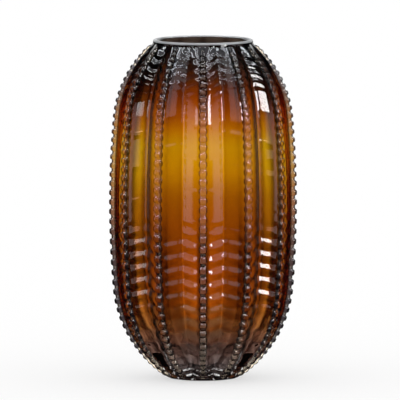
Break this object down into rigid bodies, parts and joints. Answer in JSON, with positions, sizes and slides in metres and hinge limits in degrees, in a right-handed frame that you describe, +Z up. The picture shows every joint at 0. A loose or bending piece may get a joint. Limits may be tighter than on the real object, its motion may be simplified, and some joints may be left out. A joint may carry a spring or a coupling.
{
  "type": "hand-blown art glass vase",
  "caption": "Tall barrel-shaped vase of amber glass cased in clear glass, with notched glass trails running down its ridges and a small polished mouth.",
  "frame": {"origin": "centre of the flat ground foot, at the height of what the vase stands on", "axes": "+Z up along the vase's axis, out of its mouth; one ridge and its trail face +X, and so another faces -Y"},
  "size_m": [0.188, 0.188, 0.34],
  "materials": {
    "clear_glass": "fire polished",
    "amber_glass": "fire polished"
  },
  "bodies": {
    "root": {"clear_casing": "clear_glass", "amber_bubble": "amber_glass", "notched_trail_01": "clear_glass", "notched_trail_02": "clear_glass", "notched_trail_03": "clear_glass", "notched_trail_04": "clear_glass", "notched_trail_05": "clear_glass", "notched_trail_06": "clear_glass", "notched_trail_07": "clear_glass", "notched_trail_08": "clear_glass", "notched_trail_09": "clear_glass", "notched_trail_10": "clear_glass", "notched_trail_11": "clear_glass", "notched_trail_12": "clear_glass"}
  },
  "joints": []
}
